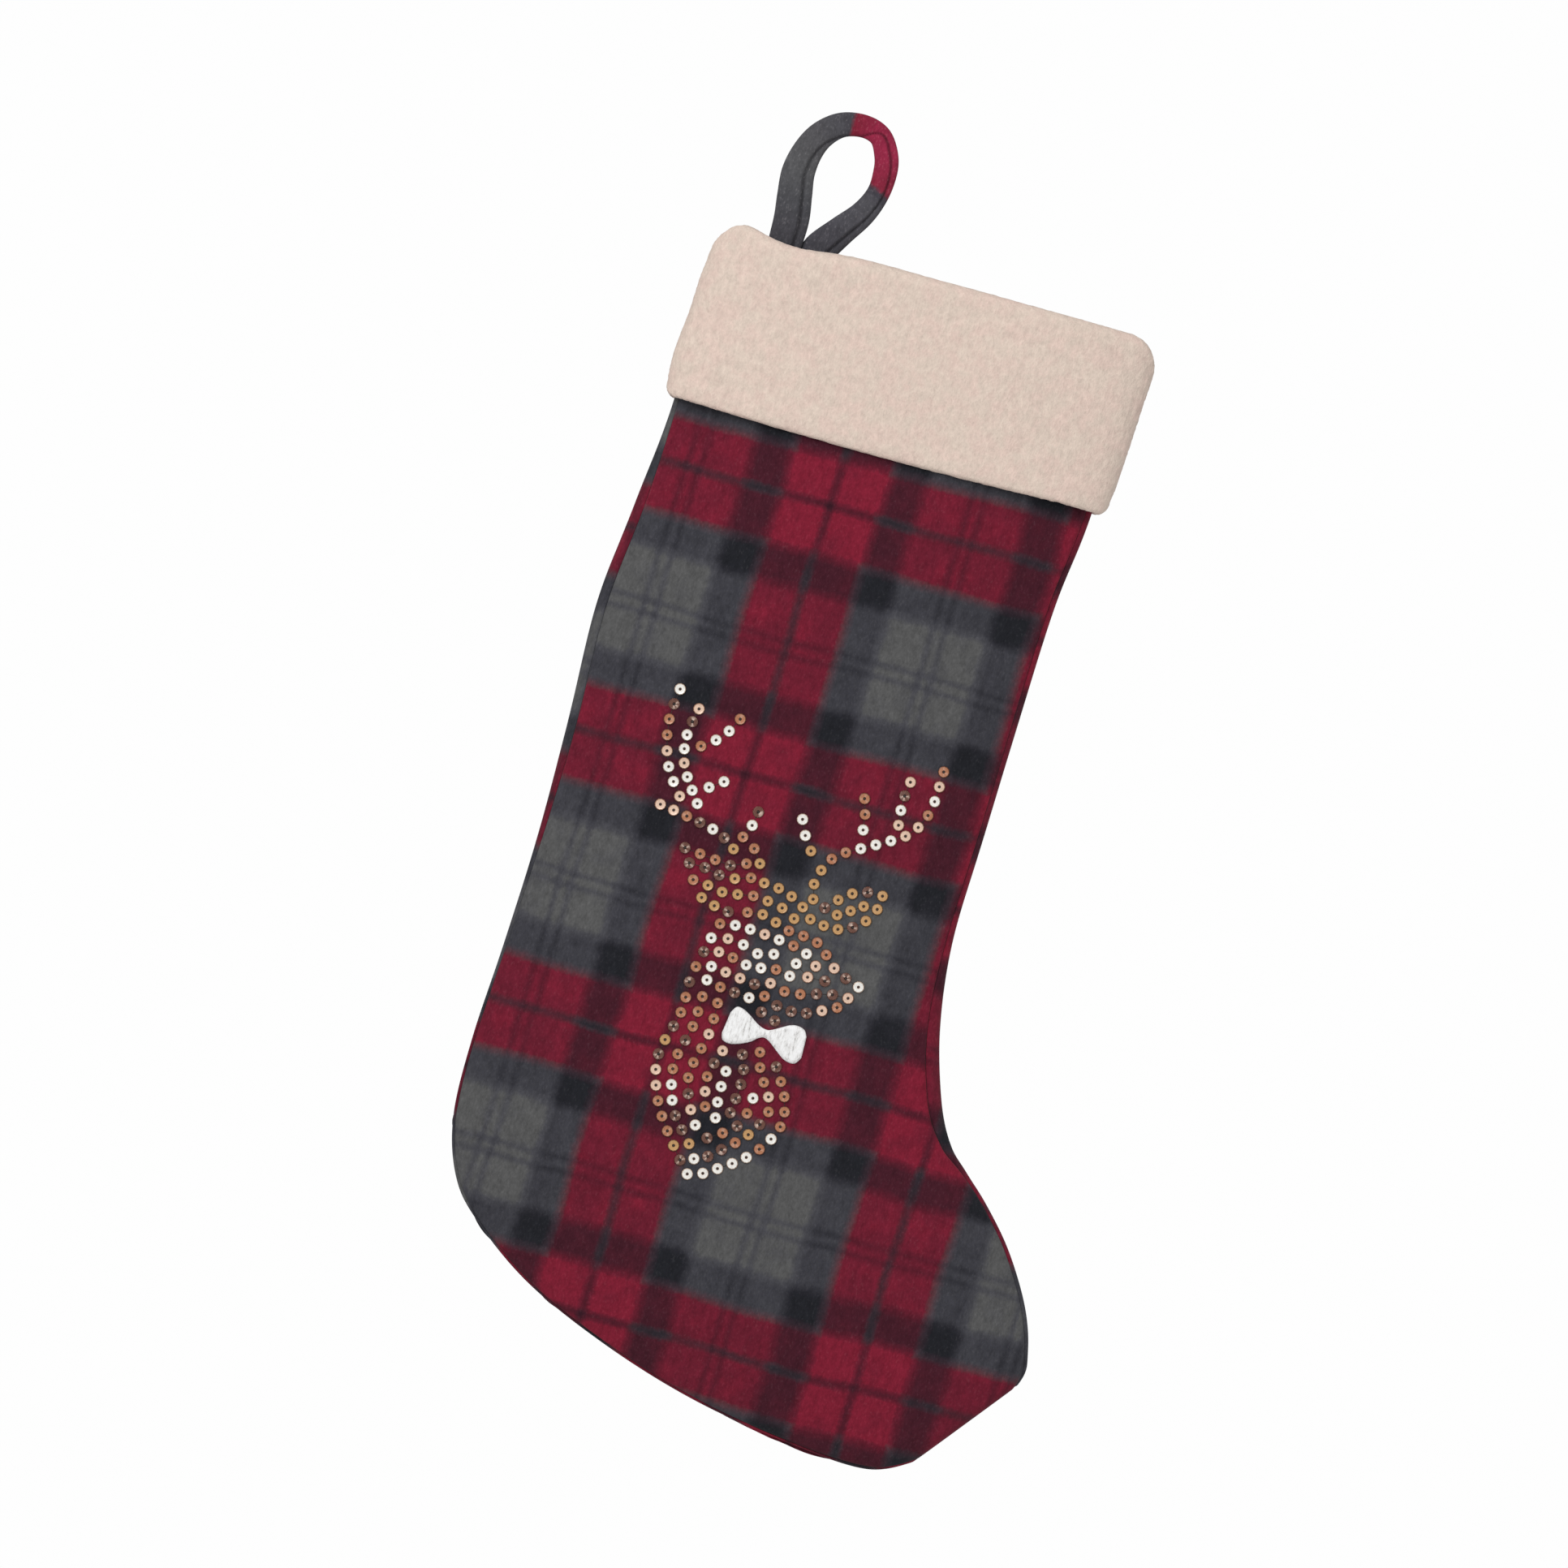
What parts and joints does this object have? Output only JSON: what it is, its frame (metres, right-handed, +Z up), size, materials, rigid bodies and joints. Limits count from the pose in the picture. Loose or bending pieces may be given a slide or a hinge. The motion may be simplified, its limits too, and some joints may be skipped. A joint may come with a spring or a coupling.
{
  "type": "hanging stocking",
  "caption": "Flat sewn tartan stocking with a turned-down cream cuff, a hanging loop at the heel side and a reindeer motif of sewn sequins with a bow tie.",
  "frame": {"origin": "the hook point: the top of the opening inside the hanging loop", "axes": "+Z up along the leg, -Y out of the decorated front, +X towards the toe"},
  "size_m": [0.2653, 0.0354, 0.5571],
  "materials": {
    "tartan_fleece": "brushed fleece in red, grey and near-black tartan",
    "strap_fleece": "brushed tartan fleece, folded and sewn",
    "cream_fleece": "thick brushed cream fleece",
    "lining_cloth": "plain thin woven cloth",
    "stabiliser_sheet": "non-woven sheet",
    "bow_embroidery": "filled satin stitches",
    "sewing_thread": "spun thread",
    "sequin_copper": "metallised film, copper",
    "sequin_champagne": "metallised film, champagne",
    "sequin_gold": "metallised film, pale gold"
  },
  "bodies": {
    "loop": {"hanging_loop": "strap_fleece"},
    "stocking": {"front_panel": "tartan_fleece", "back_panel": "tartan_fleece", "front_lining": "lining_cloth", "back_lining": "lining_cloth", "motif_stabiliser": "stabiliser_sheet", "cuff_front": "cream_fleece", "cuff_back": "cream_fleece", "bow_tie": "bow_embroidery", "loop_left_tail": "strap_fleece", "loop_right_tail": "strap_fleece", "left_bar_tack": "sewing_thread", "right_bar_tack": "sewing_thread", "left_antler_outer_sequins": "sequin_champagne", "left_antler_middle_sequins": "sequin_champagne", "left_antler_high_branch_sequins": "sequin_copper", "left_antler_low_branch_sequins": "sequin_champagne", "left_antler_beam_sequins": "sequin_copper", "left_antler_brow_tine_sequins": "sequin_copper", "left_antler_base_sequins": "sequin_gold", "right_antler_inner_tine_sequins": "sequin_champagne", "right_antler_beam_sequins": "sequin_champagne", "right_antler_middle_tine_sequins": "sequin_champagne", "right_antler_small_tine_sequins": "sequin_copper", "left_ear_top_sequins": "sequin_copper", "left_ear_middle_sequins": "sequin_copper", "left_ear_lower_sequins": "sequin_gold", "left_ear_edge_sequins": "sequin_gold", "crown_top_sequins": "sequin_gold", "crown_middle_sequins": "sequin_gold", "right_ear_top_sequins": "sequin_gold", "right_ear_middle_sequins": "sequin_gold", "right_ear_lower_sequins": "sequin_gold", "forehead_sequins": "sequin_copper", "face_upper_sequins": "sequin_champagne", "cheek_upper_sequins": "sequin_champagne", "muzzle_upper_sequins": "sequin_champagne", "cheek_middle_sequins": "sequin_copper", "muzzle_middle_sequins": "sequin_copper", "cheek_lower_sequins": "sequin_champagne", "jaw_sequins": "sequin_copper", "throat_sequins": "sequin_copper", "chin_sequins": "sequin_copper", "neck_row_1_sequins": "sequin_copper", "neck_row_2_sequins": "sequin_gold", "neck_row_3_sequins": "sequin_copper", "neck_row_4_sequins": "sequin_copper", "neck_row_5_sequins": "sequin_champagne", "neck_row_6_sequins": "sequin_copper", "neck_row_7_sequins": "sequin_champagne", "neck_row_8_sequins": "sequin_copper", "neck_row_9_sequins": "sequin_champagne"}
  },
  "joints": [
    {"name": "loop_bend", "type": "hinge", "parent": "loop", "child": "stocking", "pos_m": [-0.0124, 0, -0.051], "axis": [1, 0, 0], "range_deg": [-75, 75]}
  ]
}
